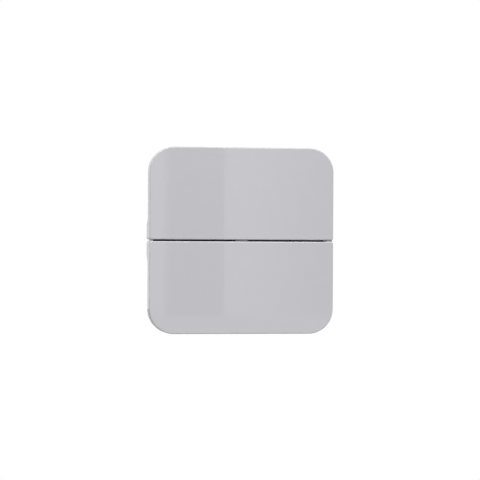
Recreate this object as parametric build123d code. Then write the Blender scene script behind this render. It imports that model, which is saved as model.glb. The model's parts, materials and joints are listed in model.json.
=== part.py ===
from build123d import *
import math
import os

# Two-gang rocker switch for a round flush wall box.
# X is to the right, Y goes into the wall and Z is up. The wall surface is Y = 0, and the
# origin is midway between the two box screws. Both keys are off, with their left side out.
# All lengths are in millimetres and all angles in degrees.

# How far a cut runs past the surface that it starts or ends at
OVERCUT = 1.0

# Keys
FACE_WIDTH = 80.0
FACE_HEIGHT = 80.0
FACE_STANDOFF = 13.5
FACE_THICKNESS = 2.0
KEY_GAP = 0.7
CORNER_RADIUS = 10.6
INNER_CORNER_RADIUS = 0.8
FACE_EDGE_RADIUS = 0.45
SKIRT_THICKNESS = 2.0
SKIRT_DEPTH = 6.5
GUARD_DEPTH = 10.0
GUARD_LENGTH = 6.0
GUARD_RAMP = 3.0
GUARD_LIP = 0.2
GUARD_LIP_INSET = 0.6
TILT = 4.0
PIVOT_STANDOFF = 3.0
SEAT_RIB_DEPTH = 4.0
SEAT_RIB_WIDTH = 5.0
RIB_THICKNESS = 1.2
OUTER_RIB_DEPTH = 2.0
FACE_RIB_DEPTH = 1.0
FACE_RIB_SPACING = 10.5
HOOK_SPACING = 20.0
HOOK_THICKNESS = 1.4
HOOK_WIDTH = 6.0
HOOK_LIP = 0.8
HOOK_LIP_DEPTH = 1.0
SNAP_CLEARANCE = 0.1

# Actuators
GANG_PITCH = 20.0
PLATE_WIDTH = 30.0
PLATE_HEIGHT = 15.0
PLATE_THICKNESS = 2.0
PLATE_CORNER = 1.2
HUB_RADIUS = 3.0
TRUNNION_RADIUS = 2.0
TRUNNION_LENGTH = 1.7
BEARING_CLEARANCE = 0.05
STEM_RADIUS = 3.9
STEM_REACH = 6.0
GUSSET_THICKNESS = 1.2
GUSSET_INSET = 0.8

# Plungers and springs
PLUNGER_RADIUS = 2.5
PLUNGER_CLEARANCE = 0.1
PLUNGER_TIP_RADIUS = 1.5
PLUNGER_SHOULDER = 7.0
SPIGOT_RADIUS = 1.3
SPIGOT_LENGTH = 2.0
SPRING_LENGTH = 5.0
SPRING_RADIUS = 1.95
SPRING_WIRE = 0.7
SPRING_TURNS = 3.5
BORE_FLOOR = 1.0

# Contact parts
KNIFE_DEPTH = 15.0
KNIFE_RADIUS = 0.5
KNIFE_CLEARANCE = 0.05
BLADE_LENGTH = 21.4
BLADE_WIDTH = 5.0
BLADE_THICKNESS = 1.2
BLADE_FLAT = 5.0
BLADE_SETBACK = 0.1
CONTACT_POSITION = 9.2
CONTACT_RADIUS = 1.6
CONTACT_HEIGHT = 0.9
CONTACT_HEAD_RADIUS = 1.3
CONTACT_HEAD_HEIGHT = 0.4
CONTACT_SHANK_RADIUS = 0.8
FIXED_CONTACT_RADIUS = 1.8
FIXED_CONTACT_HEIGHT = 1.0
CONTACT_GAP = 0.03
STRIP_THICKNESS = 1.0
STRIP_WIDTH = 4.4
BUS_LINK_WIDTH = 4.0
BUS_LINK_OFFSET = 4.0
STRIP_CLEARANCE = 0.05

# Terminals
WIRE_BORE_RADIUS = 1.7
CAGE_WALL = 1.0
CAGE_SCREW_WALL = 1.5
CAGE_LENGTH = 6.6
CAGE_HEIGHT = 7.0
CAGE_CLEARANCE = 0.1
CAGE_CORNER = 0.5
CLAMP_SCREW_RADIUS = 1.5
CLAMP_HEAD_RADIUS = 2.3
CLAMP_HEAD_HEIGHT = 1.6
CLAMP_HOLE_RADIUS = 2.6
DRIVER_SLOT_WIDTH = 0.6
DRIVER_SLOT_DEPTH = 0.7

# Housing
CHAMBER_GAP = 0.9
INNER_WALL = 1.2
SIDE_WALL = 1.9
REAR_WALL = 2.3
HOUSING_HEIGHT = 41.0
HOUSING_CHAMFER = 3.5
HOUSING_EDGE_RADIUS = 0.5
STRIP_GAUGE_LENGTH = 11.0
STRIP_GAUGE_WIDTH = 2.6
STRIP_GAUGE_DEPTH = 0.5
REAR_FIELD_WIDTH = 20.0
REAR_FIELD_HEIGHT = 11.0
REAR_FIELD_DEPTH = 0.3
REAR_FIELD_CORNER = 1.0
NECK_SHOULDER = 1.2
WIRE_FUNNEL = 0.5
STOP_LEDGE_REACH = 2.0
STOP_LEDGE_THICKNESS = 1.6
GUIDE_LENGTH = 6.0
GUIDE_HEIGHT = 4.0
GUIDE_GAP = 0.4

# Support ring
RING_THICKNESS = 1.2
RING_FIT = 0.2
BOX_SCREW_SPACING = 60.0
BOX_SLOT_RADIUS = 1.9
BOX_SLOT_LENGTH = 7.0

# Front cover of the insert
COVER_THICKNESS = 4.0
COVER_SIDE_OVERHANG = 1.0
COVER_END_OVERHANG = 2.5
COVER_CORNER = 3.0
COVER_EDGE_RADIUS = 0.5
WINDOW_GAP = 0.8
WINDOW_END_GAP = 0.6
BOSS_WALL = 1.25
COVER_SCREW_INSET = 3.1
COVER_SCREW_DROP = 4.0
COVER_SCREW_RADIUS = 1.0
COVER_SCREW_LENGTH = 9.8
COVER_HEAD_RADIUS = 1.8
COVER_HEAD_HEIGHT = 1.3
SCREW_CLEARANCE = 0.15

# Base frame
FRAME_GAP = 1.0
FRAME_DEPTH = 7.8
FRAME_FRONT = 1.6
FRAME_WALL = 1.4
FRAME_CORNER = 8.5
FRAME_FIT = 0.1
FRAME_WINDOW_GAP = 0.4
FRAME_INNER_WALL = 1.2
FRAME_EDGE_RADIUS = 0.5
FRAME_RIB = 1.2
FRAME_RIB_DEPTH = 0.6
FRAME_RIB_SPACING = 15.0
CLIP_HEIGHT = 12.0
CLIP_WIDTH = 6.0
CLIP_LIP = 0.8
CLIP_LIP_DEPTH = 1.4
CLIP_SLACK = 0.2

# Stop pads
PAD_INSET = 3.05
PAD_WIDTH = 4.6
PAD_HEIGHT = 7.0
PAD_THICKNESS = 1.1
PAD_STEM_RADIUS = 1.1
PAD_GAP = 0.04
PAD_FIT = 0.02
PAD_BOSS_MARGIN = 0.2

# Spreading claws
CLAW_SPREAD = 14.0
CLAW_WIDTH = 8.4
CLAW_THICKNESS = 1.2
CLAW_LENGTH = 15.0
CLAW_PIVOT_DEPTH = 2.0
CLAW_PIVOT_RADIUS = 0.8
CLAW_PIVOT_OFFSET = 2.3
CLAW_PIVOT_CLEARANCE = 0.06
CLAW_FOOT_REACH = 4.4
CLAW_TOOTH = 1.2
CLAW_TOOTH_COUNT = 4
CLAW_WINDOW = 4.0
FORK_DEPTH = 4.0
FORK_REACH = 6.9
FORK_SLOT_START = 1.8
EAR_THICKNESS = 1.2
EAR_GAP = 0.3
EAR_MARGIN = 1.0
CLAW_SCREW_OFFSET = 5.0
CLAW_SCREW_RADIUS = 1.5
CLAW_SCREW_LENGTH = 13.0
CLAW_HEAD_RADIUS = 2.8
CLAW_HEAD_HEIGHT = 1.6
CLAW_SCREW_PITCH = 0.5
CLAW_SCREW_CLEARANCE = 0.1
NUT_RADIUS = 2.4
NUT_LENGTH = 7.0
NUT_GAP = 0.03


def block(x, y, z):
    """A box between a low and a high value on each axis."""
    size = [high - low for low, high in (x, y, z)]
    middle = [(high + low) / 2 for low, high in (x, y, z)]
    return Pos(*middle) * Box(*size)


def plate(outline, front, back, x=0.0, z=0.0):
    """An outline seen from the room, drawn in X and Z, given depth from front to back."""
    plane = Plane(origin=(x, back, z), x_dir=(1, 0, 0), z_dir=(0, -1, 0))
    return extrude(plane * outline, amount=back - front)


def rod_y(radius, front, back, x=0.0, z=0.0):
    """A round rod along Y."""
    return plate(Circle(radius), front, back, x, z)


def rod_z(radius, low, high, x=0.0, y=0.0):
    """A round rod along Z."""
    return Pos(x, y, (low + high) / 2) * Cylinder(radius, high - low)


def rod_x(radius, left, right, y=0.0, z=0.0):
    """A round rod along X."""
    return Pos((left + right) / 2, y, z) * Rot(0, 90, 0) * Cylinder(radius, right - left)


def prism_z(points, low, high):
    """A polygon drawn in X and Y, given height from low to high."""
    return extrude(Pos(0, 0, low) * make_face(Polyline(*points, close=True)), amount=high - low)


def prism_x(points, left, right):
    """A polygon drawn in Y and Z, given width from left to right."""
    plane = Plane(origin=(left, 0, 0), x_dir=(0, 1, 0), z_dir=(1, 0, 0))
    return extrude(plane * make_face(Polyline(*points, close=True)), amount=right - left)


def turned(points, x=0.0, z=0.0):
    """A profile of radius and Y, turned about an axis along Y."""
    return Pos(x, 0, z) * revolve(make_face(Polyline(*points, close=True)), Axis.Y)


def both_sides(shape):
    """The shape and its mirror image on the left."""
    return [shape, mirror(shape, about=Plane.YZ)]


def both_gangs(shape):
    """The shape of the upper gang and its mirror image in the lower gang."""
    return [shape, mirror(shape, about=Plane.XY)]


def slot_outline(length, radius):
    """A slot with round ends, lying along X."""
    return SlotOverall(length, 2 * radius)


def rounded(width, height, radius):
    """A rectangle with round corners."""
    return RectangleRounded(width, height, min(radius, 0.49 * min(width, height)))


# Places that several pieces share
gang_z = GANG_PITCH / 2
pivot_y = -PIVOT_STANDOFF
face_front = -FACE_STANDOFF
face_back = face_front + FACE_THICKNESS
plate_front = face_back + SEAT_RIB_DEPTH
plate_back = plate_front + PLATE_THICKNESS
window_half_width = PLATE_WIDTH / 2 + WINDOW_GAP
window_half_height = PLATE_HEIGHT / 2 + WINDOW_END_GAP
chamber_low = gang_z - window_half_height
chamber_high = gang_z + window_half_height
blade_half = BLADE_LENGTH / 2
chamber_half = blade_half + CHAMBER_GAP
key_height = (FACE_HEIGHT - KEY_GAP) / 2
key_low = KEY_GAP / 2
key_high = key_low + key_height

# The bridge rocks twice as far as the key, so that each arm lies square to its stop
bridge_tilt = 2 * TILT
arm_back = (
    BLADE_FLAT / 2 * math.sin(math.radians(bridge_tilt))
    - BLADE_SETBACK * math.cos(math.radians(bridge_tilt))
)
stop_front = KNIFE_DEPTH + arm_back + CONTACT_GAP
fixed_contact_front = KNIFE_DEPTH + arm_back + CONTACT_HEIGHT + CONTACT_GAP
strip_front = fixed_contact_front + FIXED_CONTACT_HEIGHT
floor_y = strip_front + STRIP_THICKNESS
housing_back = floor_y + REAR_WALL

# Across the terminals, from the contact chamber to the side of the housing
pocket_in = chamber_half + INNER_WALL
cage_in = pocket_in + CAGE_CLEARANCE
tail_in = cage_in + CAGE_WALL + STRIP_CLEARANCE
tail_out = tail_in + STRIP_THICKNESS
wire_x = tail_out + STRIP_CLEARANCE + WIRE_BORE_RADIUS
cage_screw_in = wire_x + WIRE_BORE_RADIUS + CAGE_CLEARANCE
cage_out = cage_screw_in + CAGE_SCREW_WALL
pocket_out = cage_out + CAGE_CLEARANCE
housing_half_width = pocket_out + SIDE_WALL
housing_half_height = HOUSING_HEIGHT / 2
cage_back = strip_front - CAGE_CLEARANCE
cage_front = cage_back - CAGE_LENGTH
clamp_y = (cage_front + cage_back) / 2

# Ring, cover and frame, from the housing and the keys outwards
neck_half_width = housing_half_width - NECK_SHOULDER
neck_half_height = housing_half_height - NECK_SHOULDER
ring_front = -RING_THICKNESS
cover_front = ring_front - COVER_THICKNESS
cover_half_width = housing_half_width + COVER_SIDE_OVERHANG
cover_half_height = housing_half_height + COVER_END_OVERHANG
frame_half_width = FACE_WIDTH / 2 - SKIRT_THICKNESS - FRAME_GAP
frame_half_height = FACE_HEIGHT / 2 - SKIRT_THICKNESS - FRAME_GAP
frame_window_width = cover_half_width + FRAME_WINDOW_GAP
frame_window_height = cover_half_height + FRAME_WINDOW_GAP
frame_front = -FRAME_DEPTH
frame_plate_back = frame_front + FRAME_FRONT
ring_half_width = frame_half_width - FRAME_WALL - FRAME_FIT
ring_half_height = frame_half_height - FRAME_WALL - FRAME_FIT
pad_x = frame_window_width + PAD_INSET
clip_x = frame_window_width
claw_pivot_z = housing_half_height + CLAW_PIVOT_OFFSET
claw_screw_z = claw_pivot_z + CLAW_SCREW_OFFSET
cover_screw_x = housing_half_width - COVER_SCREW_INSET
cover_screw_z = housing_half_height - COVER_SCREW_DROP
cover_head_seat = cover_front + COVER_HEAD_HEIGHT + SCREW_CLEARANCE

# The plunger tip clears the bridge by this much as both pass the middle
tip_centre = KNIFE_DEPTH - BLADE_SETBACK - BLADE_THICKNESS - PLUNGER_TIP_RADIUS - CONTACT_GAP
bore_floor_y = pivot_y - BORE_FLOOR
shoulder_y = bore_floor_y + SPRING_LENGTH

# Everything that tilts with a key is drawn square to the wall and then tilted to off
key_off = Pos(0, pivot_y, 0) * Rot(0, 0, TILT) * Pos(0, -pivot_y, 0)
bridge_off = Pos(0, KNIFE_DEPTH, 0) * Rot(0, 0, -bridge_tilt) * Pos(0, -KNIFE_DEPTH, 0)


def key_outline(inset=0.0, reach=0.0):
    """The upper key's outline: large radii above, nearly sharp corners at the slot."""
    width = FACE_WIDTH - 2 * inset
    height = key_height - inset + reach
    outline = Rectangle(width, height)
    outline = fillet(outline.vertices().group_by(Axis.Y)[-1], CORNER_RADIUS - inset)
    if not reach:
        outline = fillet(outline.vertices().group_by(Axis.Y)[0], INNER_CORNER_RADIUS)
    return Pos(0, key_low - reach + height / 2) * outline


def key_ribs():
    """Ribs on the back of the face: a seat on the actuator, and shallow stiffeners outside it."""
    seat_top = gang_z + PLATE_HEIGHT / 2
    top = key_high - SKIRT_THICKNESS
    seat = block((-SEAT_RIB_WIDTH / 2, SEAT_RIB_WIDTH / 2), (face_back, plate_front), (key_low, seat_top))
    outer = block(
        (-SEAT_RIB_WIDTH / 2, SEAT_RIB_WIDTH / 2), (face_back, face_back + OUTER_RIB_DEPTH), (seat_top, top)
    )
    ribs = seat + outer
    seat_x = PLATE_WIDTH / 2 - 2 * RIB_THICKNESS
    side = block(
        (seat_x, seat_x + RIB_THICKNESS),
        (face_back, plate_front),
        (gang_z - PLATE_HEIGHT / 2, seat_top),
    )
    across = block((-seat_x, seat_x), (face_back, face_back + OUTER_RIB_DEPTH), (0, RIB_THICKNESS))
    for z in (gang_z - PLATE_HEIGHT / 2, seat_top - RIB_THICKNESS):
        ribs += Pos(0, 0, z) * across
    for rib in both_sides(side):
        ribs += rib
    low_rib = (face_back, face_back + FACE_RIB_DEPTH)
    skirt_in = FACE_WIDTH / 2 - SKIRT_THICKNESS
    pad_room = PAD_HEIGHT / 2 + RIB_THICKNESS
    for step in (1, 2):
        x = PLATE_WIDTH / 2 + (step - 0.5) * FACE_RIB_SPACING
        upright = block((x, x + RIB_THICKNESS), low_rib, (pad_room, top))
        for rib in both_sides(upright):
            ribs += rib
    for z in (gang_z - RIB_THICKNESS / 2, gang_z + FACE_RIB_SPACING, gang_z + 2 * FACE_RIB_SPACING):
        ribs += block((-skirt_in, skirt_in), low_rib, (z, z + RIB_THICKNESS))
    return ribs


def key_hooks():
    """Four snap hooks that reach through the actuator's plate and catch behind it."""
    catch_y = plate_back + SNAP_CLEARANCE
    tip_y = catch_y + HOOK_LIP_DEPTH
    inner = HOOK_SPACING / 2
    outer = inner + HOOK_THICKNESS
    points = (
        (inner, face_back),
        (outer, face_back),
        (outer, catch_y),
        (outer + HOOK_LIP, catch_y),
        (outer, tip_y),
        (inner, tip_y),
    )
    hook = prism_z(points, gang_z - HOOK_WIDTH / 2, gang_z + HOOK_WIDTH / 2)
    return both_sides(hook)


def guard_lips():
    """Low lips at the ends of the slot, deep in the skirt, that keep the light and dust out."""
    skirt_in = FACE_WIDTH / 2 - SKIRT_THICKNESS
    lip = block(
        (skirt_in, FACE_WIDTH / 2 - GUARD_LIP_INSET),
        (face_front + SKIRT_DEPTH, face_front + GUARD_DEPTH),
        (key_low - GUARD_LIP, key_low + GUARD_LIP),
    )
    return both_sides(lip)


def rocker():
    """The upper key, square to the wall."""
    solid = plate(key_outline(), face_front, face_front + GUARD_DEPTH)
    solid -= plate(key_outline(SKIRT_THICKNESS, reach=OVERCUT), face_back, face_front + 2 * GUARD_DEPTH)
    skirt_end = face_front + SKIRT_DEPTH
    guard_end = face_front + GUARD_DEPTH
    guard_top = key_low + GUARD_LENGTH
    beyond = key_high + OVERCUT
    above_guards = (
        (skirt_end, guard_top + GUARD_RAMP),
        (guard_end, guard_top),
        (guard_end + OVERCUT, guard_top),
        (guard_end + OVERCUT, beyond),
        (skirt_end, beyond),
    )
    solid -= prism_x(above_guards, -FACE_WIDTH, FACE_WIDTH)
    rim = solid.faces().sort_by(Axis.Y)[0].edges()
    solid = fillet(rim, min(FACE_EDGE_RADIUS, 0.5 * FACE_THICKNESS))
    solid += key_ribs()
    for piece in guard_lips() + key_hooks():
        solid += piece
    return solid


def actuator():
    """The rocking carrier: plate, hub with trunnions, gussets and a bored stem."""
    low = gang_z - PLATE_HEIGHT / 2
    high = gang_z + PLATE_HEIGHT / 2
    body = plate(rounded(PLATE_WIDTH, PLATE_HEIGHT, PLATE_CORNER), plate_front, plate_back, z=gang_z)
    body += rod_z(HUB_RADIUS, low, high, y=pivot_y)
    body += block((-HUB_RADIUS, HUB_RADIUS), (plate_back, pivot_y), (low, high))
    body += rod_y(STEM_RADIUS, plate_back, STEM_REACH, z=gang_z)
    gusset_end = PLATE_WIDTH / 2 - PLATE_CORNER
    gusset = (
        (-gusset_end, plate_back),
        (gusset_end, plate_back),
        (HUB_RADIUS, pivot_y),
        (-HUB_RADIUS, pivot_y),
    )
    for z in (low + GUSSET_INSET, high - GUSSET_INSET - GUSSET_THICKNESS):
        body += prism_z(gusset, z, z + GUSSET_THICKNESS)
    body += rod_z(TRUNNION_RADIUS, low - TRUNNION_LENGTH, high + TRUNNION_LENGTH, y=pivot_y)
    body -= rod_y(PLUNGER_RADIUS + PLUNGER_CLEARANCE, bore_floor_y, STEM_REACH + OVERCUT, z=gang_z)
    leg = HOOK_SPACING / 2
    hole_x = (leg - SNAP_CLEARANCE, leg + HOOK_THICKNESS + SNAP_CLEARANCE)
    hole_z = (gang_z - HOOK_WIDTH / 2 - SNAP_CLEARANCE, gang_z + HOOK_WIDTH / 2 + SNAP_CLEARANCE)
    hole = block(hole_x, (plate_front - OVERCUT, plate_back + SNAP_CLEARANCE), hole_z)
    for cut in both_sides(hole):
        body -= cut
    return body


def plunger():
    """Round plunger with a spigot for the spring and a domed tip."""
    cone_start = shoulder_y + PLUNGER_SHOULDER
    # The cone runs into the dome where both have the same slope
    drop = tip_centre - cone_start
    reach = math.hypot(drop, PLUNGER_RADIUS)
    slope = math.asin(PLUNGER_TIP_RADIUS / reach) - math.atan2(PLUNGER_RADIUS, drop)
    joint_r = PLUNGER_TIP_RADIUS * math.cos(slope)
    joint_y = tip_centre - PLUNGER_TIP_RADIUS * math.sin(slope)
    half_angle = (math.pi / 2 + slope) / 2
    halfway = (
        PLUNGER_TIP_RADIUS * math.sin(half_angle),
        tip_centre + PLUNGER_TIP_RADIUS * math.cos(half_angle),
    )
    outline = (
        Line((0, shoulder_y - SPIGOT_LENGTH), (SPIGOT_RADIUS, shoulder_y - SPIGOT_LENGTH))
        + Line((SPIGOT_RADIUS, shoulder_y - SPIGOT_LENGTH), (SPIGOT_RADIUS, shoulder_y))
        + Line((SPIGOT_RADIUS, shoulder_y), (PLUNGER_RADIUS, shoulder_y))
        + Line((PLUNGER_RADIUS, shoulder_y), (PLUNGER_RADIUS, cone_start))
        + Line((PLUNGER_RADIUS, cone_start), (joint_r, joint_y))
        + ThreePointArc((joint_r, joint_y), halfway, (0, tip_centre + PLUNGER_TIP_RADIUS))
        + Line((0, tip_centre + PLUNGER_TIP_RADIUS), (0, shoulder_y - SPIGOT_LENGTH))
    )
    return Pos(0, 0, gang_z) * revolve(make_face(outline), Axis.Y)


def spring():
    """Compression spring between the bore's floor and the plunger's shoulder."""
    rise = SPRING_LENGTH - SPRING_WIRE
    pitch = rise / SPRING_TURNS
    start = (0, bore_floor_y + SPRING_WIRE / 2, gang_z)
    path = Helix(pitch=pitch, height=rise, radius=SPRING_RADIUS, center=start, direction=(0, 1, 0))
    section = Plane(origin=path @ 0, z_dir=path % 0) * RegularPolygon(SPRING_WIRE / 2, 6)
    print("spring: least gap between turns", round(pitch - SPRING_WIRE, 3), "mm")
    return sweep(section, path=path, is_frenet=True)


def arm_y(x):
    """Back of the bridge at a distance along it, square to the wall."""
    beyond = max(abs(x) - BLADE_FLAT / 2, 0.0)
    return KNIFE_DEPTH - BLADE_SETBACK - beyond * math.tan(math.radians(bridge_tilt))


def contact_blade():
    """Rocking bridge: a flat middle, two arms bent forwards and a groove for the knife edge."""
    stations = (-blade_half, -BLADE_FLAT / 2, BLADE_FLAT / 2, blade_half)
    back = [(x, arm_y(x)) for x in stations]
    front = [(x, arm_y(x) - BLADE_THICKNESS) for x in reversed(stations)]
    low = gang_z - BLADE_WIDTH / 2
    high = gang_z + BLADE_WIDTH / 2
    blade = prism_z(back + front, low, high)
    blade -= rod_z(KNIFE_RADIUS + KNIFE_CLEARANCE, low - OVERCUT, high + OVERCUT, y=KNIFE_DEPTH)
    hole = rod_y(CONTACT_SHANK_RADIUS, -4 * BLADE_THICKNESS, 4 * BLADE_THICKNESS)
    return blade - contact_place() * hole


def contact_place():
    """Where the moving contact sits on the bridge: its Y = 0 is the back of the arm."""
    x = CONTACT_POSITION
    return Pos(x, arm_y(x), gang_z) * Rot(0, 0, -bridge_tilt)


def moving_contact():
    """Contact rivet through the bridge's right arm."""
    thickness = BLADE_THICKNESS * math.cos(math.radians(bridge_tilt))
    points = (
        (0, CONTACT_HEIGHT),
        (CONTACT_RADIUS, CONTACT_HEIGHT),
        (CONTACT_RADIUS, 0),
        (CONTACT_SHANK_RADIUS, 0),
        (CONTACT_SHANK_RADIUS, -thickness),
        (CONTACT_HEAD_RADIUS, -thickness),
        (CONTACT_HEAD_RADIUS, -thickness - CONTACT_HEAD_HEIGHT),
        (0, -thickness - CONTACT_HEAD_HEIGHT),
    )
    return contact_place() * turned(points)


def fixed_contact():
    """Contact rivet standing on the output strip."""
    points = (
        (0, fixed_contact_front),
        (FIXED_CONTACT_RADIUS, fixed_contact_front),
        (FIXED_CONTACT_RADIUS, strip_front),
        (CONTACT_SHANK_RADIUS, strip_front),
        (CONTACT_SHANK_RADIUS, floor_y),
        (0, floor_y),
    )
    return turned(points, CONTACT_POSITION, gang_z)


def strip_to_terminal(start_x):
    """Strip along the chamber floor that turns forwards into the right-hand clamp cage."""
    across = (gang_z - STRIP_WIDTH / 2, gang_z + STRIP_WIDTH / 2)
    tail_front = cage_front + CAGE_CLEARANCE
    strip = block((start_x, tail_out), (strip_front, floor_y), across)
    return strip + block((tail_in, tail_out), (tail_front, floor_y), across)


def output_strip():
    """Switched strip under the fixed contact."""
    strip = strip_to_terminal(CONTACT_POSITION - FIXED_CONTACT_RADIUS - STRIP_THICKNESS)
    shank = rod_y(CONTACT_SHANK_RADIUS, strip_front - OVERCUT, floor_y + OVERCUT, CONTACT_POSITION, gang_z)
    return strip - shank


def line_bus():
    """Feed strip for both gangs, with a knife edge for each bridge and two terminal tails."""
    feed = mirror(strip_to_terminal(-2 * KNIFE_RADIUS - STRIP_THICKNESS), about=Plane.YZ)
    across = (gang_z - STRIP_WIDTH / 2, gang_z + STRIP_WIDTH / 2)
    feed += block((-KNIFE_RADIUS, KNIFE_RADIUS), (KNIFE_DEPTH, floor_y), across)
    feed += rod_z(KNIFE_RADIUS, *across, y=KNIFE_DEPTH)
    half_link = BUS_LINK_WIDTH / 2
    bus = block(
        (-BUS_LINK_OFFSET - half_link, -BUS_LINK_OFFSET + half_link),
        (strip_front, floor_y),
        (-gang_z, gang_z),
    )
    for strip in both_gangs(feed):
        bus += strip
    return bus


def terminal_cage():
    """Square clamp cage around wire and tail, with a threaded wall for its screw."""
    low = gang_z - CAGE_HEIGHT / 2
    high = gang_z + CAGE_HEIGHT / 2
    width = cage_out - cage_in
    outline = rounded(width, CAGE_HEIGHT, CAGE_CORNER)
    cage = plate(outline, cage_front, cage_back, (cage_in + cage_out) / 2, gang_z)
    cage -= block(
        (cage_in + CAGE_WALL, cage_screw_in),
        (cage_front - OVERCUT, cage_back + OVERCUT),
        (low + CAGE_WALL, high - CAGE_WALL),
    )
    return cage - rod_x(CLAMP_SCREW_RADIUS + STRIP_CLEARANCE / 2, wire_x, cage_out + OVERCUT, clamp_y, gang_z)


def terminal_screw():
    """Clamp screw, reached through the side of the housing."""
    head_in = cage_out + STRIP_CLEARANCE
    head_out = head_in + CLAMP_HEAD_HEIGHT
    screw = rod_x(CLAMP_SCREW_RADIUS, cage_screw_in + STRIP_CLEARANCE, head_in, clamp_y, gang_z)
    screw += rod_x(CLAMP_HEAD_RADIUS, head_in, head_out, clamp_y, gang_z)
    half_slot = DRIVER_SLOT_WIDTH / 2
    return screw - block(
        (head_out - DRIVER_SLOT_DEPTH, head_out + OVERCUT),
        (clamp_y - CLAMP_HOLE_RADIUS, clamp_y + CLAMP_HOLE_RADIUS),
        (gang_z - half_slot, gang_z + half_slot),
    )


def at_terminals(shape):
    """The four copies of a piece of the upper right terminal."""
    return [copy for half in both_sides(shape) for copy in both_gangs(half)]


def gang_cuts():
    """What is hollow in the housing for the upper gang."""
    front = ring_front - OVERCUT
    half_pocket = CAGE_HEIGHT / 2 + 2 * CAGE_CLEARANCE
    half_strip = STRIP_WIDTH / 2 + STRIP_CLEARANCE
    cuts = [block((-chamber_half, chamber_half), (front, floor_y), (chamber_low, chamber_high))]
    pocket = block((pocket_in, pocket_out), (front, floor_y), (gang_z - half_pocket, gang_z + half_pocket))
    pocket += block(
        (chamber_half - OVERCUT, pocket_in + CAGE_CLEARANCE),
        (strip_front - STRIP_CLEARANCE, floor_y),
        (gang_z - half_strip, gang_z + half_strip),
    )
    pocket += rod_y(WIRE_BORE_RADIUS, floor_y - CAGE_CLEARANCE, housing_back + OVERCUT, wire_x, gang_z)
    funnel = (
        (0, housing_back - WIRE_FUNNEL),
        (WIRE_BORE_RADIUS, housing_back - WIRE_FUNNEL),
        (WIRE_BORE_RADIUS + WIRE_FUNNEL, housing_back),
        (0, housing_back),
    )
    pocket += turned(funnel, wire_x, gang_z)
    side = (pocket_out - CAGE_CLEARANCE, housing_half_width + OVERCUT)
    pocket += rod_x(CLAMP_HOLE_RADIUS, *side, clamp_y, gang_z)
    return cuts + both_sides(pocket)


def gang_rails():
    """Stop ledge for the bridge's resting arm, and guides beside the bridge."""
    half_rail = STRIP_WIDTH / 2 + 2 * INNER_WALL
    ledge = block(
        (-chamber_half, -chamber_half + STOP_LEDGE_REACH),
        (stop_front, stop_front + STOP_LEDGE_THICKNESS),
        (gang_z - half_rail, gang_z + half_rail),
    )
    rails = [ledge]
    guide = block(
        (-GUIDE_LENGTH / 2, GUIDE_LENGTH / 2),
        (floor_y - GUIDE_HEIGHT, floor_y),
        (BLADE_WIDTH / 2 + GUIDE_GAP, BLADE_WIDTH / 2 + GUIDE_GAP + INNER_WALL),
    )
    rails.append(Pos(0, 0, gang_z) * guide)
    rails.append(Pos(0, 0, gang_z) * mirror(guide, about=Plane.XY))
    return rails


def bearing_bores():
    """Room for the trunnions of both actuators, with running clearance."""
    radius = TRUNNION_RADIUS + BEARING_CLEARANCE
    end = gang_z + PLATE_HEIGHT / 2 + TRUNNION_LENGTH + SNAP_CLEARANCE
    return rod_z(radius, -end, end, y=pivot_y)


def rear_marks():
    """Shallow recesses in the back: a blank field, and a gauge for the stripped length of a wire."""
    behind = housing_back + OVERCUT
    field = rounded(REAR_FIELD_WIDTH, REAR_FIELD_HEIGHT, REAR_FIELD_CORNER)
    gauge = Rectangle(STRIP_GAUGE_LENGTH, STRIP_GAUGE_WIDTH)
    gauge_z = housing_half_height - HOUSING_CHAMFER - STRIP_GAUGE_WIDTH
    return [
        plate(field, housing_back - REAR_FIELD_DEPTH, behind),
        plate(gauge, housing_back - STRIP_GAUGE_DEPTH, behind, 0, gauge_z),
    ]


def switch_base():
    """Insulating housing behind the ring, open to the front."""
    outline = Rectangle(2 * housing_half_width, HOUSING_HEIGHT)
    outline = chamfer(outline.vertices(), HOUSING_CHAMFER)
    base = plate(outline, 0, housing_back)
    base = fillet(base.faces().sort_by(Axis.Y)[-1].edges(), HOUSING_EDGE_RADIUS)
    for mark in rear_marks():
        base -= mark
    base += plate(rounded(2 * neck_half_width, 2 * neck_half_height, NECK_SHOULDER), ring_front, 0)
    for gang in both_gangs(Compound(children=gang_cuts())):
        for cut in gang.solids():
            base -= cut
    for gang in both_gangs(Compound(children=gang_rails())):
        for rail in gang.solids():
            base += rail
    link_room = BUS_LINK_WIDTH / 2 + STRIP_CLEARANCE
    base -= block(
        (-BUS_LINK_OFFSET - link_room, -BUS_LINK_OFFSET + link_room),
        (strip_front - STRIP_CLEARANCE, floor_y),
        (-gang_z, gang_z),
    )
    base -= bearing_bores()
    screw_end = cover_head_seat + COVER_SCREW_LENGTH + SCREW_CLEARANCE
    for x in (-cover_screw_x, cover_screw_x):
        for z in (-cover_screw_z, cover_screw_z):
            base -= rod_y(COVER_SCREW_RADIUS + STRIP_CLEARANCE / 2, ring_front - OVERCUT, screw_end, x, z)
    return base


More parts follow.
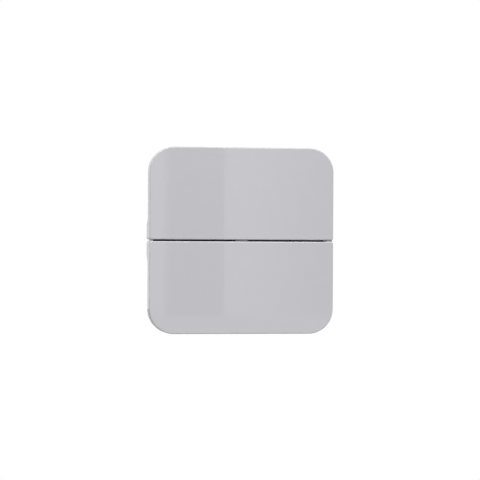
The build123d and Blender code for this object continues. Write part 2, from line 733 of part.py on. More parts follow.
def mechanism_cover():
    """Front cover with a window and two bearings for each actuator."""
    cover = plate(
        rounded(2 * cover_half_width, 2 * cover_half_height, COVER_CORNER), cover_front, ring_front
    )
    cover = fillet(cover.faces().sort_by(Axis.Y)[0].edges(), min(COVER_EDGE_RADIUS, 0.4 * COVER_THICKNESS))
    boss_radius = TRUNNION_RADIUS + BEARING_CLEARANCE + BOSS_WALL
    boss_end = gang_z + PLATE_HEIGHT / 2 + TRUNNION_LENGTH + INNER_WALL
    cover += rod_z(boss_radius, -boss_end, boss_end, y=pivot_y)
    cover -= block((-2 * boss_radius, 2 * boss_radius), (ring_front, boss_radius), (-boss_end, boss_end))
    window = block(
        (-window_half_width, window_half_width),
        (cover_front - boss_radius, ring_front + OVERCUT),
        (chamber_low, chamber_high),
    )
    for cut in both_gangs(window):
        cover -= cut
    cover -= bearing_bores()
    before = cover_front - OVERCUT
    for x in (-cover_screw_x, cover_screw_x):
        for z in (-cover_screw_z, cover_screw_z):
            cover -= rod_y(COVER_SCREW_RADIUS + SCREW_CLEARANCE, before, ring_front + OVERCUT, x, z)
            cover -= rod_y(COVER_HEAD_RADIUS + SCREW_CLEARANCE, before, cover_head_seat, x, z)
    return cover


def cover_screw(x, z):
    """Pan-head screw that pulls cover and housing together on the ring."""
    head_front = cover_head_seat - COVER_HEAD_HEIGHT
    screw = rod_y(COVER_HEAD_RADIUS, head_front, cover_head_seat, x, z)
    screw = chamfer(screw.faces().sort_by(Axis.Y)[0].edges(), 0.25 * COVER_HEAD_HEIGHT)
    screw += rod_y(COVER_SCREW_RADIUS, cover_head_seat, cover_head_seat + COVER_SCREW_LENGTH, x, z)
    half_slot = DRIVER_SLOT_WIDTH / 2
    for turn in (0, 90):
        bar = block(
            (-COVER_SCREW_RADIUS, COVER_SCREW_RADIUS),
            (-OVERCUT, DRIVER_SLOT_DEPTH),
            (-half_slot, half_slot),
        )
        screw -= Pos(x, head_front, z) * Rot(0, turn, 0) * bar
    return screw


def claw_ears():
    """The two bent ears of the ring that carry the upper claw."""
    inner = CLAW_WIDTH / 2 + EAR_GAP
    reach = CLAW_PIVOT_RADIUS + CLAW_PIVOT_CLEARANCE + EAR_MARGIN
    outer = inner + EAR_THICKNESS
    ear = block((inner, outer), (0, CLAW_PIVOT_DEPTH), (claw_pivot_z - reach, claw_pivot_z + reach))
    ear += rod_x(reach, inner, outer, CLAW_PIVOT_DEPTH, claw_pivot_z)
    hole_radius = CLAW_PIVOT_RADIUS + CLAW_PIVOT_CLEARANCE
    ear -= rod_x(hole_radius, inner - OVERCUT, outer + OVERCUT, CLAW_PIVOT_DEPTH, claw_pivot_z)
    return both_sides(ear)


def support_ring():
    """Steel ring with the two box-screw slots, clip holes and claw ears."""
    corner = FRAME_CORNER - FRAME_WALL - FRAME_FIT
    ring = plate(rounded(2 * ring_half_width, 2 * ring_half_height, corner), ring_front, 0)
    hole = rounded(
        2 * (neck_half_width + RING_FIT), 2 * (neck_half_height + RING_FIT), NECK_SHOULDER + RING_FIT
    )
    ring -= plate(hole, ring_front - OVERCUT, OVERCUT)
    for x in (-BOX_SCREW_SPACING / 2, BOX_SCREW_SPACING / 2):
        ring -= plate(slot_outline(BOX_SLOT_LENGTH, BOX_SLOT_RADIUS), ring_front - OVERCUT, OVERCUT, x)
    clip_hole = block(
        (clip_x - CLIP_SLACK, clip_x + FRAME_INNER_WALL + CLIP_SLACK),
        (ring_front - OVERCUT, OVERCUT),
        (CLIP_HEIGHT - CLIP_WIDTH / 2 - CLIP_SLACK, CLIP_HEIGHT + CLIP_WIDTH / 2 + CLIP_SLACK),
    )
    for cut in at_terminals(clip_hole):
        ring -= cut
    for z in (-claw_screw_z, claw_screw_z):
        ring -= rod_y(CLAW_SCREW_RADIUS + CLAW_SCREW_CLEARANCE, ring_front - OVERCUT, OVERCUT, 0, z)
    for ear in claw_ears():
        for copy in both_gangs(ear):
            ring += copy
    return ring


def frame_clips():
    """Four legs that run on from the frame's inner wall, through the ring, and catch behind it."""
    outer = clip_x + FRAME_INNER_WALL
    lip_back = SNAP_CLEARANCE + CLIP_LIP_DEPTH
    points = (
        (clip_x, frame_plate_back),
        (outer, frame_plate_back),
        (outer, SNAP_CLEARANCE),
        (outer + CLIP_LIP, SNAP_CLEARANCE),
        (outer, lip_back),
        (clip_x, lip_back),
    )
    return at_terminals(prism_z(points, CLIP_HEIGHT - CLIP_WIDTH / 2, CLIP_HEIGHT + CLIP_WIDTH / 2))


def frame_ribs():
    """Low ribs across the channel behind the frame's plate, where the heads of the box screws lie."""
    depth = (frame_plate_back, frame_plate_back + FRAME_RIB_DEPTH)
    half = FRAME_RIB / 2
    ribs = []
    for offset in (-1.5, -0.5, 0.5, 1.5):
        z = offset * FRAME_RIB_SPACING
        x = offset * FRAME_RIB_SPACING
        side = block((frame_window_width, frame_half_width - FRAME_WALL), depth, (z - half, z + half))
        top = block((x - half, x + half), depth, (frame_window_height, frame_half_height - FRAME_WALL))
        ribs += both_sides(side) + both_gangs(top)
    return ribs


def pad_boss_back():
    """Where the back of a stop pad meets its boss on the frame."""
    return pad_top(pad_x - PAD_WIDTH / 2) + PAD_THICKNESS


def pad_top(x):
    """Front of the right-hand stop pad: just clear of the face of a key pressed to it."""
    slope = math.radians(TILT)
    behind_face = face_back - pivot_y
    return pivot_y + (behind_face + x * math.sin(slope)) / math.cos(slope) + PAD_GAP


def base_frame():
    """Dark tray between the keys and the ring."""
    outer = rounded(2 * frame_half_width, 2 * frame_half_height, FRAME_CORNER)
    inner = rounded(
        2 * (frame_half_width - FRAME_WALL), 2 * (frame_half_height - FRAME_WALL), FRAME_CORNER - FRAME_WALL
    )
    frame = plate(outer, frame_front, 0)
    frame = fillet(frame.faces().sort_by(Axis.Y)[0].edges(), min(FRAME_EDGE_RADIUS, 0.4 * FRAME_WALL))
    frame -= plate(inner, frame_plate_back, OVERCUT)
    collar = rounded(
        2 * (frame_window_width + FRAME_INNER_WALL),
        2 * (frame_window_height + FRAME_INNER_WALL),
        COVER_CORNER + FRAME_WINDOW_GAP + FRAME_INNER_WALL,
    )
    frame += plate(collar, frame_plate_back - 0.5 * FRAME_FRONT, ring_front - SNAP_CLEARANCE)
    for rib in frame_ribs():
        frame += rib
    for clip in frame_clips():
        frame += clip
    boss_width = PAD_WIDTH + 2 * PAD_BOSS_MARGIN
    boss_height = PAD_HEIGHT + 2 * PAD_BOSS_MARGIN
    for side in (-1, 1):
        frame += plate(Rectangle(boss_width, boss_height), pad_boss_back(), frame_plate_back, side * pad_x)
    window = rounded(2 * frame_window_width, 2 * frame_window_height, COVER_CORNER + FRAME_WINDOW_GAP)
    frame -= plate(window, 2 * frame_front, OVERCUT)
    for side in (-1, 1):
        frame -= rod_y(PAD_STEM_RADIUS + PAD_FIT, 2 * frame_front, 0, side * pad_x)
    return frame


def stop_pad():
    """Right-hand soft stop: a sloped head, and a stem pressed into the frame."""
    left = pad_x - PAD_WIDTH / 2
    right = pad_x + PAD_WIDTH / 2
    back = pad_boss_back()
    head = prism_z(
        ((left, back), (left, pad_top(left)), (right, pad_top(right)), (right, back)),
        -PAD_HEIGHT / 2,
        PAD_HEIGHT / 2,
    )
    return head + rod_y(PAD_STEM_RADIUS, back, frame_plate_back, pad_x)


def claw_foot(half, low):
    """Outline of the claw's foot, with the teeth that bite into the wall box."""
    root = low + CLAW_FOOT_REACH
    width = 2 * half / CLAW_TOOTH_COUNT
    points = [(-half, low), (half, low), (half, root)]
    for number in reversed(range(CLAW_TOOTH_COUNT)):
        left = -half + number * width
        points += [(left + width / 2, root + CLAW_TOOTH), (left, root)]
    return make_face(Polyline(*points, close=True))


def claw():
    """Upper spreading claw: slotted arm, toothed foot, fork for the screw and pivot pins."""
    half = CLAW_WIDTH / 2
    arm_low = claw_pivot_z - CLAW_THICKNESS / 2
    arm_high = claw_pivot_z + CLAW_THICKNESS / 2
    start = CLAW_PIVOT_DEPTH
    end = start + CLAW_LENGTH
    solid = block((-half, half), (start, end), (arm_low, arm_high))
    solid += rod_x(CLAW_THICKNESS / 2, -half, half, start, claw_pivot_z)
    solid += plate(claw_foot(half, arm_low), end - CLAW_THICKNESS, end)
    fork_front = start + FORK_DEPTH
    fork_top = claw_pivot_z + FORK_REACH
    solid += block((-half, half), (fork_front, fork_front + CLAW_THICKNESS), (arm_low, fork_top))
    slot_half = CLAW_SCREW_RADIUS + CLAW_SCREW_CLEARANCE
    solid -= block(
        (-slot_half, slot_half),
        (fork_front - OVERCUT, fork_front + CLAW_THICKNESS + OVERCUT),
        (claw_pivot_z + FORK_SLOT_START, fork_top + OVERCUT),
    )
    window_half = CLAW_WINDOW / 2
    solid -= block(
        (-window_half, window_half),
        (fork_front + 2 * CLAW_THICKNESS, end - 2 * CLAW_THICKNESS),
        (arm_low - OVERCUT, arm_high + OVERCUT),
    )
    pin_end = half + EAR_GAP + EAR_THICKNESS
    solid += rod_x(CLAW_PIVOT_RADIUS, -pin_end, pin_end, start, claw_pivot_z)
    return solid


def claw_screw():
    """Upper claw screw, its head in front of the ring."""
    head_back = ring_front - STRIP_CLEARANCE
    head_front = head_back - CLAW_HEAD_HEIGHT
    screw = rod_y(CLAW_HEAD_RADIUS, head_front, head_back, 0, claw_screw_z)
    screw = chamfer(screw.faces().sort_by(Axis.Y)[0].edges(), 0.25 * CLAW_HEAD_HEIGHT)
    screw += rod_y(CLAW_SCREW_RADIUS, head_back, CLAW_SCREW_LENGTH, 0, claw_screw_z)
    half_slot = DRIVER_SLOT_WIDTH / 2
    return screw - block(
        (-CLAW_HEAD_RADIUS - OVERCUT, CLAW_HEAD_RADIUS + OVERCUT),
        (head_front - OVERCUT, head_front + DRIVER_SLOT_DEPTH),
        (claw_screw_z - half_slot, claw_screw_z + half_slot),
    )


def claw_nut():
    """Upper barrel nut behind the claw's fork, drawn towards the ring by the screw."""
    centre_y = nut_start()
    nut = rod_x(NUT_RADIUS, -NUT_LENGTH / 2, NUT_LENGTH / 2, centre_y, claw_screw_z)
    front = centre_y - 2 * NUT_RADIUS
    back = centre_y + 2 * NUT_RADIUS
    return nut - rod_y(CLAW_SCREW_RADIUS + STRIP_CLEARANCE, front, back, 0, claw_screw_z)


def nut_start():
    """Depth of the nut's centre with the claw folded in."""
    return CLAW_PIVOT_DEPTH + FORK_DEPTH + CLAW_THICKNESS + NUT_RADIUS + NUT_GAP


def report_motion():
    """Print the joint places and ranges that belong to these sizes."""
    spread = math.radians(CLAW_SPREAD)
    folded = nut_start() - CLAW_PIVOT_DEPTH
    opened = (folded - CLAW_SCREW_OFFSET * math.sin(spread)) / math.cos(spread)
    travel = folded - opened
    turn = 360 * travel / CLAW_SCREW_PITCH
    print("key pivot y", pivot_y, "range", 2 * TILT)
    print("bridge pivot y", KNIFE_DEPTH, "range", 2 * bridge_tilt)
    print("claw pivot y, z", CLAW_PIVOT_DEPTH, claw_pivot_z)
    print("claw screw z", claw_screw_z, "turn", round(turn, 2))
    print("nut travel", round(travel, 4), "claw ratio", round(CLAW_SPREAD / turn, 6))
    print("wire bore x, y, z", round(wire_x, 3), round(floor_y, 3), gang_z)
    print("housing back", round(housing_back, 3))
    print("pads x", pad_x, "ring half", ring_half_width, "cover half", cover_half_width, cover_half_height)


def save(name, shapes):
    """Write one node: a single solid, or a group of alike solids."""
    solids = [solid for shape in shapes for solid in shape.solids()]
    node = solids[0] if len(solids) == 1 else Compound(children=solids)
    export_step(node, f"parts/{name}.step")


os.makedirs("parts", exist_ok=True)

tilted = {"rocker": rocker, "actuator": actuator, "plunger": plunger, "spring": spring}
bridged = {"contact_blade": contact_blade, "moving_contact": moving_contact}
plain = {
    "fixed_contact": fixed_contact,
    "output_strip": output_strip,
    "claw": claw,
    "claw_screw": claw_screw,
    "claw_nut": claw_nut,
}
for place, makers in ((key_off, tilted), (bridge_off, bridged), (Pos(0, 0, 0), plain)):
    for piece, make in makers.items():
        upper, lower = both_gangs(place * make())
        save(f"upper_{piece}", [upper])
        save(f"lower_{piece}", [lower])

save("base_frame", [base_frame()])
save("stop_bumpers", both_sides(stop_pad()))
save("support_ring", [support_ring()])
save("mechanism_cover", [mechanism_cover()])
save("switch_base", [switch_base()])
save("line_bus", [line_bus()])
save("terminal_cages", at_terminals(terminal_cage()))
save("terminal_screws", at_terminals(terminal_screw()))
screw_places = [(x, z) for x in (-cover_screw_x, cover_screw_x) for z in (-cover_screw_z, cover_screw_z)]
save("cover_screws", [cover_screw(x, z) for x, z in screw_places])
report_motion()
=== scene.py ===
"""Looks of the two-gang light switch: camera, studio and finishes.

It also makes what the solids leave out: the threads and driver slots of the claw screws, and the
small pieces in the slot between the keys.
Lengths are in metres. X is to the right, Y into the wall and Z up, as in the model.
"""

import json
import math

import bmesh
import bpy
from mathutils import Matrix, Vector


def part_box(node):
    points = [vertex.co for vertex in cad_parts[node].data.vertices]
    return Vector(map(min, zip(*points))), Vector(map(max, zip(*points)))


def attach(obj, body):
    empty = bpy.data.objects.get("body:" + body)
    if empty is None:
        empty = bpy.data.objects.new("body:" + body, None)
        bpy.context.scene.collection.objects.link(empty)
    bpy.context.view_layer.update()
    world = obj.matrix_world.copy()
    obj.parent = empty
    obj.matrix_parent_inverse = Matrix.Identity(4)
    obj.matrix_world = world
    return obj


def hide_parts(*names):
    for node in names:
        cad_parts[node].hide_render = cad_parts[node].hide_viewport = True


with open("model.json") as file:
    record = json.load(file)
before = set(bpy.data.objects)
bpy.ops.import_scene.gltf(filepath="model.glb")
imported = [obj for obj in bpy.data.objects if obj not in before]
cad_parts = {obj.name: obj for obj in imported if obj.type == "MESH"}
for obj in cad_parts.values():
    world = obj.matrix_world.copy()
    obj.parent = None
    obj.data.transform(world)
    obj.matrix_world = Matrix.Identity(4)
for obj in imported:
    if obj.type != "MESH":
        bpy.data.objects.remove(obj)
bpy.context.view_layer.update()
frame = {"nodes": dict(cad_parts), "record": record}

MM = 0.001

# The camera, fitted to the outline of the face in the photograph. Angles are in degrees.
IMAGE_SIZE = 480
CAMERA_TARGET = (-0.05 * MM, -12.0 * MM, 0.27 * MM)
CAMERA_DISTANCE = 850 * MM
CAMERA_AZIMUTH = -6.0
CAMERA_ELEVATION = 0.2
CAMERA_ROLL = 0.32
CAMERA_CLIP = (0.05, 20)
PIXELS_PER_MM = 2.3285
SENSOR_WIDTH = 36.0

# The lamps: name, azimuth and elevation in degrees, distance, side, and power in watts.
LAMPS = (
    ("key_light", 10, 44, 1.15, 1.1, 15.4),
    ("left_light", -130, 8, 1.2, 1.1, 3.4),
    ("back_light", 150, 25, 1.3, 1.3, 3.5),
)

# The floor. It keeps the object's shadow near it and fades to white between the two distances.
FLOOR_HEIGHT = -160 * MM
FLOOR_SIZE = 6.0
FLOOR_FADE = (0.16, 0.42)
FLOOR_COLOUR = 0.35
FLOOR_ROUGHNESS = 0.9
FLOOR_GLOW = 0.6
FLOOR_MIRRORED = 0.6

# The ambient light from straight below and from straight above, as a share of white.
AMBIENT_BELOW = 0.36
AMBIENT_ABOVE = 0.52

# Dimmer zones in the white surroundings that polished faces mirror. Each light is a share of white.
# The gap in front, in degrees to the right, and how far its two edges fade, as a tangent.
REFLECTED_GAP = (11.85, 13.55)
REFLECTED_GAP_EDGES = (0.003, 0.0004)
REFLECTED_GAP_LIGHT = 0.05
# The fall to the right of the gap, in degrees.
REFLECTED_FALL = (13.7, 17.0)
REFLECTED_FALL_LIGHT = 0.05
# These go by how far a direction points to the front, from -1 straight behind to 1. The fall ends
# before straight behind. The other two are zones that begin, are full, start to fade and end there.
REFLECTED_FALL_END = (-0.98, -0.9)
REFLECTED_SIDE = (-0.15, 0.1, 0.4, 0.75)
REFLECTED_SIDE_LIGHT = 0.5
REFLECTED_BEHIND = (-0.98, -0.9, -0.6, -0.2)
REFLECTED_BEHIND_LIGHT = 0.65
# How far upward a direction points where those two fade out.
REFLECTED_TOP = (0.2, 0.55)
# Keeps the tangent finite beside and behind.
LEAST_FRONT = 0.001

# The finishes, the range that most of a noise falls in, and the Mix node's sockets for colours.
REFRACTIVE_INDEX = 1.5
NOISE_RANGE = (0.25, 0.75)
MIX_FIRST = 6
MIX_SECOND = 7
MIX_RESULT = 2

# The keys, as in the model.
KEY_TILT = 4.0
KEY_PIVOT_Y = -3.0 * MM
KEY_GAP = 0.7 * MM
SKIRT_END_Y = -7.0 * MM
COVER_FRONT_Y = -5.2 * MM

# The small pieces in the slot between the keys.
LEFT_LIP_X = (-39.7 * MM, -38.5 * MM)
LEFT_LIP_FRONT_Y = -12.2 * MM
RIGHT_LIP_X = (37.35 * MM, 39.7 * MM)
RIGHT_LIP_FRONT_Y = -12.4 * MM
LIP_CLEARANCE = 0.03 * MM
DIVIDER_X = (-1.9 * MM, 3.2 * MM)
DIVIDER_FRONT_Y = -12.0 * MM
DIVIDER_THICKNESS = 0.48 * MM
SMALL_BEVEL = 0.06 * MM
SMALL_BEVEL_STEPS = 2

# The claw screws, as in the model, and their threads.
SCREW_Z = 27.8 * MM
SCREW_RADIUS = 1.5 * MM
SCREW_PITCH = 0.5 * MM
SCREW_ROOT = 1.23 * MM
SCREW_END_CHAMFER = 0.4 * MM
CREST_FLATNESS = 1.25
HEAD_RADIUS = 2.8 * MM
HEAD_HEIGHT = 1.6 * MM
HEAD_CHAMFER = 0.4 * MM
DRIVER_SLOT_WIDTH = 0.6 * MM
DRIVER_SLOT_DEPTH = 0.7 * MM
ROWS_A_TURN = 8
STEPS_ROUND = 40


def toward(azimuth, elevation):
    """The direction from the object to a camera or lamp at those angles, in degrees."""
    azimuth = math.radians(azimuth)
    elevation = math.radians(elevation)
    return Vector((
        math.sin(azimuth) * math.cos(elevation),
        -math.cos(azimuth) * math.cos(elevation),
        math.sin(elevation),
    ))


def camera_axes():
    """Right, up and back of the camera, in the model's frame."""
    azimuth = math.radians(CAMERA_AZIMUTH)
    roll = math.radians(CAMERA_ROLL)
    back = toward(CAMERA_AZIMUTH, CAMERA_ELEVATION)
    level = Vector((math.cos(azimuth), math.sin(azimuth), 0))
    upright = back.cross(level)
    right = math.cos(roll) * level + math.sin(roll) * upright
    up = math.cos(roll) * upright - math.sin(roll) * level
    return right, up, back


def make_camera():
    """The camera at the photograph's viewing angle."""
    right, up, back = camera_axes()
    data = bpy.data.cameras.new("photo_camera")
    data.sensor_width = SENSOR_WIDTH
    focal_pixels = PIXELS_PER_MM * CAMERA_DISTANCE / MM
    data.lens = focal_pixels / IMAGE_SIZE * SENSOR_WIDTH
    data.clip_start, data.clip_end = CAMERA_CLIP
    camera = bpy.data.objects.new("photo_camera", data)
    bpy.context.scene.collection.objects.link(camera)
    turn = Matrix((right, up, back)).transposed().to_4x4()
    place = Vector(CAMERA_TARGET) + CAMERA_DISTANCE * back
    camera.matrix_world = Matrix.Translation(place) @ turn
    bpy.context.scene.camera = camera


class Nodes:
    """Adds shader nodes to one tree, and gives their outputs to work on with."""

    def __init__(self, tree):
        self.tree = tree

    def new(self, kind):
        return self.tree.nodes.new(kind)

    def link(self, source, target):
        self.tree.links.new(source, target)

    def calculate(self, operation, *values):
        """Maths on numbers and outputs."""
        node = self.new("ShaderNodeMath")
        node.operation = operation
        for place, value in enumerate(values):
            if isinstance(value, (int, float)):
                node.inputs[place].default_value = value
            else:
                self.link(value, node.inputs[place])
        return node.outputs[0]

    def multiply(self, first, *others):
        for other in others:
            first = self.calculate("MULTIPLY", first, other)
        return first

    def spread(self, value, low, high, out_low=0.0, out_high=1.0):
        """The value stretched from its own range to another, smoothly."""
        node = self.new("ShaderNodeMapRange")
        node.interpolation_type = "SMOOTHSTEP"
        node.inputs["From Min"].default_value = low
        node.inputs["From Max"].default_value = high
        node.inputs["To Min"].default_value = out_low
        node.inputs["To Max"].default_value = out_high
        self.link(value, node.inputs["Value"])
        return node.outputs["Result"]

    def band(self, value, begin, full, fade, end):
        """One from full to fade, and zero before begin and after end."""
        rising = self.spread(value, begin, full)
        falling = self.spread(value, fade, end, 1.0, 0.0)
        return self.multiply(rising, falling)

    def dim(self, zone, light):
        """That light inside the zone, and one outside it."""
        return self.calculate("SUBTRACT", 1.0, self.multiply(zone, 1.0 - light))

    def rays(self):
        """Two outputs: one for rays from the camera or through glass, and one for mirrored rays."""
        kinds = self.new("ShaderNodeLightPath").outputs
        direct = self.calculate("MAXIMUM", kinds["Is Camera Ray"], kinds["Is Transmission Ray"])
        return direct, kinds["Is Glossy Ray"]


class Finish(Nodes):
    """A node material on the object's own coordinates."""

    def __init__(self, name, roughness, metallic=0.0):
        self.material = bpy.data.materials.new(name)
        self.material.use_nodes = True
        super().__init__(self.material.node_tree)
        self.shader = self.tree.nodes["Principled BSDF"]
        self.shader.inputs["Metallic"].default_value = metallic
        self.shader.inputs["Roughness"].default_value = roughness
        self.shader.inputs["IOR"].default_value = REFRACTIVE_INDEX
        self.place = self.new("ShaderNodeTexCoord").outputs["Object"]
        self.relief = None

    def noise(self, size, detail, stretch=(1, 1, 1), seed=0.0):
        """Noise whose features are about size across, longer along the stretched directions."""
        mapping = self.new("ShaderNodeMapping")
        mapping.inputs["Scale"].default_value = [1 / (size * s) for s in stretch]
        mapping.inputs["Location"].default_value = (seed, seed, seed)
        self.link(self.place, mapping.inputs["Vector"])
        node = self.new("ShaderNodeTexNoise")
        node.inputs["Scale"].default_value = 1.0
        node.inputs["Detail"].default_value = detail
        self.link(mapping.outputs["Vector"], node.inputs["Vector"])
        return node.outputs["Fac"]

    def specks(self, size):
        """Cells about size across, dark at the middle of each."""
        mapping = self.new("ShaderNodeMapping")
        mapping.inputs["Scale"].default_value = [1 / size] * 3
        self.link(self.place, mapping.inputs["Vector"])
        node = self.new("ShaderNodeTexVoronoi")
        node.inputs["Scale"].default_value = 1.0
        self.link(mapping.outputs["Vector"], node.inputs["Vector"])
        return node.outputs["Distance"]

    def colour(self, factor, first, second):
        """Two colours mixed by the factor, on the base colour. Gives the mixing node."""
        node = self.new("ShaderNodeMix")
        node.data_type = "RGBA"
        self.link(factor, node.inputs["Factor"])
        node.inputs[MIX_FIRST].default_value = (*first, 1)
        node.inputs[MIX_SECOND].default_value = (*second, 1)
        self.link(node.outputs[MIX_RESULT], self.shader.inputs["Base Color"])
        return node

    def rough(self, factor, low, high):
        """Roughness that varies with the factor."""
        self.link(self.spread(factor, *NOISE_RANGE, low, high), self.shader.inputs["Roughness"])

    def bump(self, height, depth, strength=1.0):
        """Adds relief of that depth on top of any before it."""
        node = self.new("ShaderNodeBump")
        node.inputs["Distance"].default_value = depth
        node.inputs["Strength"].default_value = strength
        self.link(height, node.inputs["Height"])
        if self.relief:
            self.link(self.relief, node.inputs["Normal"])
        self.relief = node.outputs["Normal"]
        self.link(self.relief, self.shader.inputs["Normal"])


def shade(colour, factor):
    return tuple(factor * part for part in colour)


def gloss_plastic(name, colour):
    """Polished moulding: faint orange peel, faint uneven gloss and hardly any grain."""
    finish = Finish(name, roughness=0.016)
    finish.colour(finish.noise(6 * MM, detail=3), shade(colour, 0.985), shade(colour, 1.015))
    finish.rough(finish.noise(2.5 * MM, detail=4, seed=3.0), low=0.012, high=0.02)
    finish.bump(finish.noise(4 * MM, detail=1, seed=7.0), depth=0.0007 * MM)
    finish.bump(finish.noise(0.25 * MM, detail=2, seed=11.0), depth=0.00001 * MM)
    return finish


def grained_plastic(name, colour, roughness, grain, depth, mottle=0.12):
    """Spark-eroded moulding: fine even grain, slightly uneven colour and gloss."""
    finish = Finish(name, roughness)
    clouds = finish.noise(4 * MM, detail=5)
    finish.colour(clouds, shade(colour, 1 - mottle), shade(colour, 1 + mottle))
    patches = finish.noise(1.5 * MM, detail=4, seed=5.0)
    finish.rough(patches, low=roughness - 0.07, high=roughness + 0.07)
    finish.bump(finish.noise(grain, detail=3, seed=2.0), depth)
    finish.bump(finish.noise(12 * grain, detail=2, seed=9.0), 1.5 * depth)
    return finish


def filled_plastic(name, colour):
    """Hard moulding compound: pale and dark filler specks under a satin skin, and flow marks."""
    finish = grained_plastic(
        name, colour, roughness=0.42, grain=0.3 * MM, depth=0.008 * MM, mottle=0.03
    )
    specks = finish.spread(finish.specks(0.55 * MM), 0.1, 0.3)
    clouds = finish.noise(5 * MM, detail=4)
    tint = finish.colour(specks, shade(colour, 0.86), colour)
    clouded = finish.colour(clouds, shade(colour, 0.96), shade(colour, 1.05))
    finish.link(clouded.outputs[MIX_RESULT], tint.inputs[MIX_SECOND])
    finish.link(tint.outputs[MIX_RESULT], finish.shader.inputs["Base Color"])
    finish.bump(finish.noise(3 * MM, detail=1, stretch=(6, 1, 1), seed=4.0), depth=0.012 * MM)
    return finish


def natural_plastic(name, colour):
    """Unfilled plastic that lets some light in."""
    finish = grained_plastic(
        name, colour, roughness=0.34, grain=0.4 * MM, depth=0.004 * MM, mottle=0.04
    )
    finish.shader.inputs["Subsurface Weight"].default_value = 0.25
    finish.shader.inputs["Subsurface Radius"].default_value = (0.6, 0.5, 0.4)
    finish.shader.inputs["Subsurface Scale"].default_value = 1 * MM
    return finish


def rubber(name, colour):
    """Soft pad: dull, with a bloom of paler dust and a dimpled skin."""
    finish = Finish(name, roughness=0.8)
    dust = finish.spread(finish.noise(0.9 * MM, detail=5), 0.42, 0.66)
    finish.colour(dust, shade(colour, 0.85), shade(colour, 1.35))
    finish.rough(finish.noise(0.6 * MM, detail=3, seed=6.0), low=0.68, high=0.88)
    finish.bump(finish.specks(0.28 * MM), depth=0.02 * MM, strength=0.7)
    finish.bump(finish.noise(1.4 * MM, detail=2, seed=1.0), depth=0.03 * MM, strength=0.6)
    return finish


def plated_sheet(name, colour):
    """Zinc-plated sheet: rolling lines along it, clouded gloss, faint blue and straw tints."""
    finish = Finish(name, roughness=0.36, metallic=1.0)
    clouds = finish.spread(finish.noise(7 * MM, detail=4), 0.3, 0.7)
    cool = (0.97 * colour[0], 0.99 * colour[1], 1.02 * colour[2])
    warm = (1.03 * colour[0], 1.01 * colour[1], 0.96 * colour[2])
    finish.colour(clouds, cool, warm)
    finish.rough(finish.noise(1.2 * MM, detail=5, stretch=(1, 1, 6), seed=3.0), low=0.27, high=0.46)
    finish.bump(finish.noise(0.12 * MM, detail=3, stretch=(1, 1, 40), seed=8.0), depth=0.003 * MM)
    finish.bump(finish.noise(0.5 * MM, detail=4, seed=5.0), depth=0.004 * MM)
    finish.shader.inputs["Anisotropic"].default_value = 0.3
    return finish


def turned_metal(name, colour, roughness, lines):
    """Turned or drawn metal: fine lines, small scratches and uneven tarnish."""
    finish = Finish(name, roughness, metallic=1.0)
    tarnish = finish.spread(finish.noise(1.8 * MM, detail=5), 0.35, 0.72)
    finish.colour(tarnish, colour, shade(colour, 0.74))
    wear = finish.noise(0.7 * MM, detail=4, seed=4.0)
    finish.rough(wear, low=roughness - 0.08, high=roughness + 0.12)
    finish.bump(finish.noise(lines, detail=2, stretch=(12, 1, 12), seed=2.0), depth=0.002 * MM)
    finish.bump(finish.noise(0.3 * MM, detail=4, seed=6.0), depth=0.003 * MM)
    return finish


def stamped_metal(name, colour, roughness, oxide):
    """Stamped copper alloy or silver: soft rolling lines, and oxide in patches of its own shade."""
    finish = Finish(name, roughness, metallic=1.0)
    patches = finish.spread(finish.noise(2.2 * MM, detail=6), 0.45, 0.75)
    finish.colour(patches, colour, shade(colour, oxide))
    wear = finish.noise(0.8 * MM, detail=5, seed=4.0)
    finish.rough(wear, low=roughness - 0.07, high=roughness + 0.15)
    finish.bump(finish.noise(0.1 * MM, detail=2, stretch=(25, 1, 1), seed=3.0), depth=0.002 * MM)
    finish.bump(finish.noise(0.6 * MM, detail=4, seed=7.0), depth=0.005 * MM)
    return finish


def make_finishes():
    """One finish for each material slot of the record, in the record's colour.

    Each kind is a function and what it takes after the name and the colour.
    """
    kinds = {
        "key_plastic": (gloss_plastic,),
        "carrier_plastic": (grained_plastic, 0.4, 0.25 * MM, 0.005 * MM, 0.03),
        "plunger_plastic": (natural_plastic,),
        "spring_steel": (turned_metal, 0.3, 0.08 * MM),
        "frame_plastic": (grained_plastic, 0.5, 0.22 * MM, 0.012 * MM),
        "pad_rubber": (rubber,),
        "ring_steel": (plated_sheet,),
        "cover_plastic": (grained_plastic, 0.46, 0.28 * MM, 0.01 * MM),
        "housing_plastic": (filled_plastic,),
        "contact_copper": (stamped_metal, 0.3, 0.62),
        "contact_silver": (stamped_metal, 0.26, 0.7),
        "cage_brass": (stamped_metal, 0.32, 0.66),
        "screw_steel": (turned_metal, 0.33, 0.1 * MM),
    }
    colours = {m["slot"]: tuple(m["base_color"][:3]) for m in frame["record"]["materials"]}
    return {
        slot: make(slot, colours[slot], *looks).material for slot, (make, *looks) in kinds.items()
    }


def dress_nodes(finishes):
    """Gives each CAD node the finish of its own material slot."""
    for part in frame["record"]["subparts"]:
        mesh = frame["nodes"][part["node"]].data
        mesh.materials.clear()
        mesh.materials.append(finishes[part["material_slot"]])


def new_object(name, bm):
    mesh = bpy.data.meshes.new(name)
    bm.to_mesh(mesh)
    bm.free()
    piece = bpy.data.objects.new(name, mesh)
    bpy.context.scene.collection.objects.link(piece)
    return piece


def block(size, centre):
    bm = bmesh.new()
    bmesh.ops.create_cube(bm, size=1)
    bmesh.ops.scale(bm, vec=size, verts=bm.verts)
    bmesh.ops.translate(bm, vec=centre, verts=bm.verts)
    return bm


